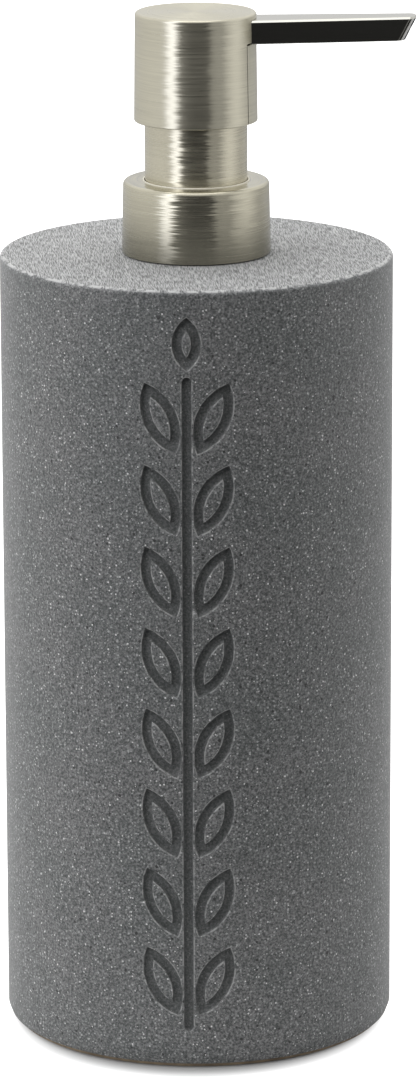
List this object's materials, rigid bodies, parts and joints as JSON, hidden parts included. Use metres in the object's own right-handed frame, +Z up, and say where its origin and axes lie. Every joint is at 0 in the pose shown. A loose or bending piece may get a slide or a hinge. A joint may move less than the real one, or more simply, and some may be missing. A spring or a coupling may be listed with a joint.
{
  "type": "soap pump dispenser",
  "caption": "Cylindrical stone-effect bottle with a screw-on metal lotion pump: pressing the swivelling head draws liquid up a dip tube and out of a flat nozzle.",
  "frame": {"origin": "on the bottle's axis, on the resting face of the base pad", "axes": "+Z up along the bottle's axis; +X along the nozzle at rest; -Y towards the engraved panel"},
  "size_m": [0.0793, 0.075, 0.1974],
  "materials": {
    "stone": "fine speckled, honed",
    "dark_resin": "matte",
    "foot_pad": "matte foam",
    "brushed_metal": "champagne nickel, brushed",
    "filler_metal": "brushed",
    "white_plastic": "satin",
    "dark_plastic": "satin",
    "clear_plastic": "translucent",
    "seal_rubber": "soft",
    "spring_steel": "drawn wire",
    "valve_ball": "polished steel"
  },
  "bodies": {
    "bottle": {"bottle_shell": "stone", "base_plug": "dark_resin", "base_pad": "foot_pad", "neck_insert": "white_plastic"},
    "pump_unit": {"neck_gasket": "seal_rubber", "pump_cylinder": "clear_plastic", "ball_retainer": "white_plastic", "dip_tube": "clear_plastic", "return_spring": "spring_steel", "stem_wiper": "seal_rubber", "chaplet": "white_plastic", "riser_sleeve": "brushed_metal"},
    "closure": {"closure_nut": "white_plastic", "collar_shell": "brushed_metal"},
    "piston_slide": {"piston": "white_plastic"},
    "head": {"stem": "white_plastic", "stem_plug": "white_plastic", "actuator_core": "dark_plastic", "head_shell": "brushed_metal", "slot_filler": "filler_metal", "nozzle_bar": "brushed_metal", "spout_liner": "white_plastic"},
    "intake_valve": {"intake_ball": "valve_ball"},
    "discharge_valve": {"discharge_ball": "valve_ball"}
  },
  "joints": [
    {"name": "pump_lift", "type": "slide", "parent": "bottle", "child": "pump_unit", "axis": [0, 0, 1], "range_m": [0, 0.004]},
    {"name": "closure_turn", "type": "hinge", "parent": "pump_unit", "child": "closure", "pos_m": [0, 0, 0.157], "axis": [0, 0, 1], "range_deg": [0, 450]},
    {"name": "head_press", "type": "slide", "parent": "pump_unit", "child": "piston_slide", "axis": [0, 0, 1], "range_m": [-0.0102, 0], "stiffness_N_per_m": 700, "springref_m": 0.009, "deforming": ["return_spring"]},
    {"name": "head_swivel", "type": "hinge", "parent": "piston_slide", "child": "head", "pos_m": [0, 0, 0.187], "axis": [0, 0, 1], "continuous": true},
    {"name": "intake_lift", "type": "slide", "parent": "pump_unit", "child": "intake_valve", "axis": [0, 0, 1], "range_m": [0, 0.0013]},
    {"name": "discharge_lift", "type": "slide", "parent": "head", "child": "discharge_valve", "axis": [0, 0, 1], "range_m": [0, 0.0011]}
  ],
  "couplings": [
    {"joint": "pump_lift", "follows": "closure_turn", "m_per_rad": 0.00050611}
  ]
}
